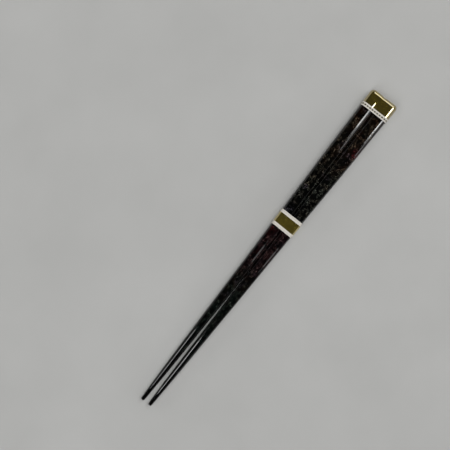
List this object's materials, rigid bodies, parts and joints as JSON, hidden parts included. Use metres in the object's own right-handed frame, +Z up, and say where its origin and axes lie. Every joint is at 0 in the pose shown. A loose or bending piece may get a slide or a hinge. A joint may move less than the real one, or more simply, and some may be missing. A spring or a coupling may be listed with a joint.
{
  "type": "lacquered chopsticks",
  "caption": "Tapered lacquered chopsticks lying side by side, held by a gold paper band, with a gold paper cap over their heads.",
  "frame": {"origin": "centre of the pair's bounding box, on the plane it rests on", "axes": "+X from the tips towards the heads, +Y towards the left stick, +Z up"},
  "size_m": [0.2354, 0.0196, 0.0103],
  "materials": {
    "lacquer": "gloss lacquer, near black with faint brown, maroon and green mottling",
    "foil_paper": "gold metallic print, with white borders"
  },
  "bodies": {
    "root": {"chopstick_left": "lacquer", "chopstick_right": "lacquer", "paper_band": "foil_paper", "head_cap": "foil_paper"}
  },
  "joints": []
}
